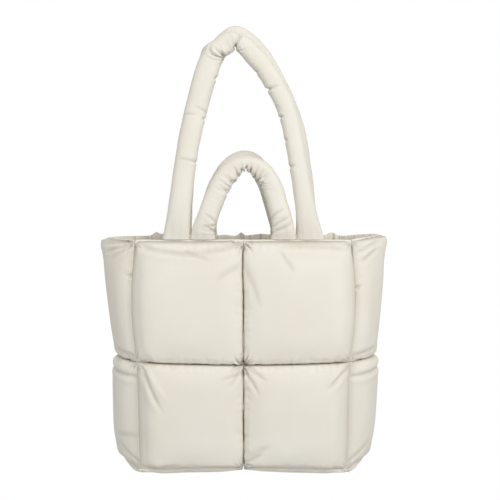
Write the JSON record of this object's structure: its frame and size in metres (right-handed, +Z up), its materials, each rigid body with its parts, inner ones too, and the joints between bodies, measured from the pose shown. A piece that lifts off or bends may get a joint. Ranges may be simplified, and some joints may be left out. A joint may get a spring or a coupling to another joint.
{
  "type": "puffer tote bag",
  "caption": "Quilted puffer tote bag, hung up: a soft open-topped box of stuffed squares with a hem, long padded shoulder straps and short padded hand straps.",
  "frame": {"origin": "the hook that carries the shoulder straps, under the fold at the crown of the front one", "axes": "+Z up along the hanging bag, +X to the viewer's right along the front panel, the front faces -Y"},
  "size_m": [0.4477, 0.1852, 0.687],
  "materials": {
    "shell": "smooth matte ivory nylon with a faint sheen, stuffed",
    "hem": "the same ivory nylon, folded over and topstitched",
    "straps": "the same ivory nylon, stuffed tubes"
  },
  "bodies": {
    "root": {"front_left_puff_lower": "shell", "front_right_puff_lower": "shell", "side_right_puff_lower": "shell", "rear_right_puff_lower": "shell", "rear_left_puff_lower": "shell", "side_left_puff_lower": "shell", "front_left_puff_upper": "shell", "front_right_puff_upper": "shell", "side_right_puff_upper": "shell", "rear_right_puff_upper": "shell", "rear_left_puff_upper": "shell", "side_left_puff_upper": "shell", "base_puff_left": "shell", "base_puff_right": "shell", "hem_front": "hem", "hem_right": "hem", "hem_rear": "hem", "hem_left": "hem", "shoulder_strap_front": "straps", "shoulder_strap_rear": "straps", "hand_strap_front": "straps", "hand_strap_rear": "straps"}
  },
  "joints": []
}
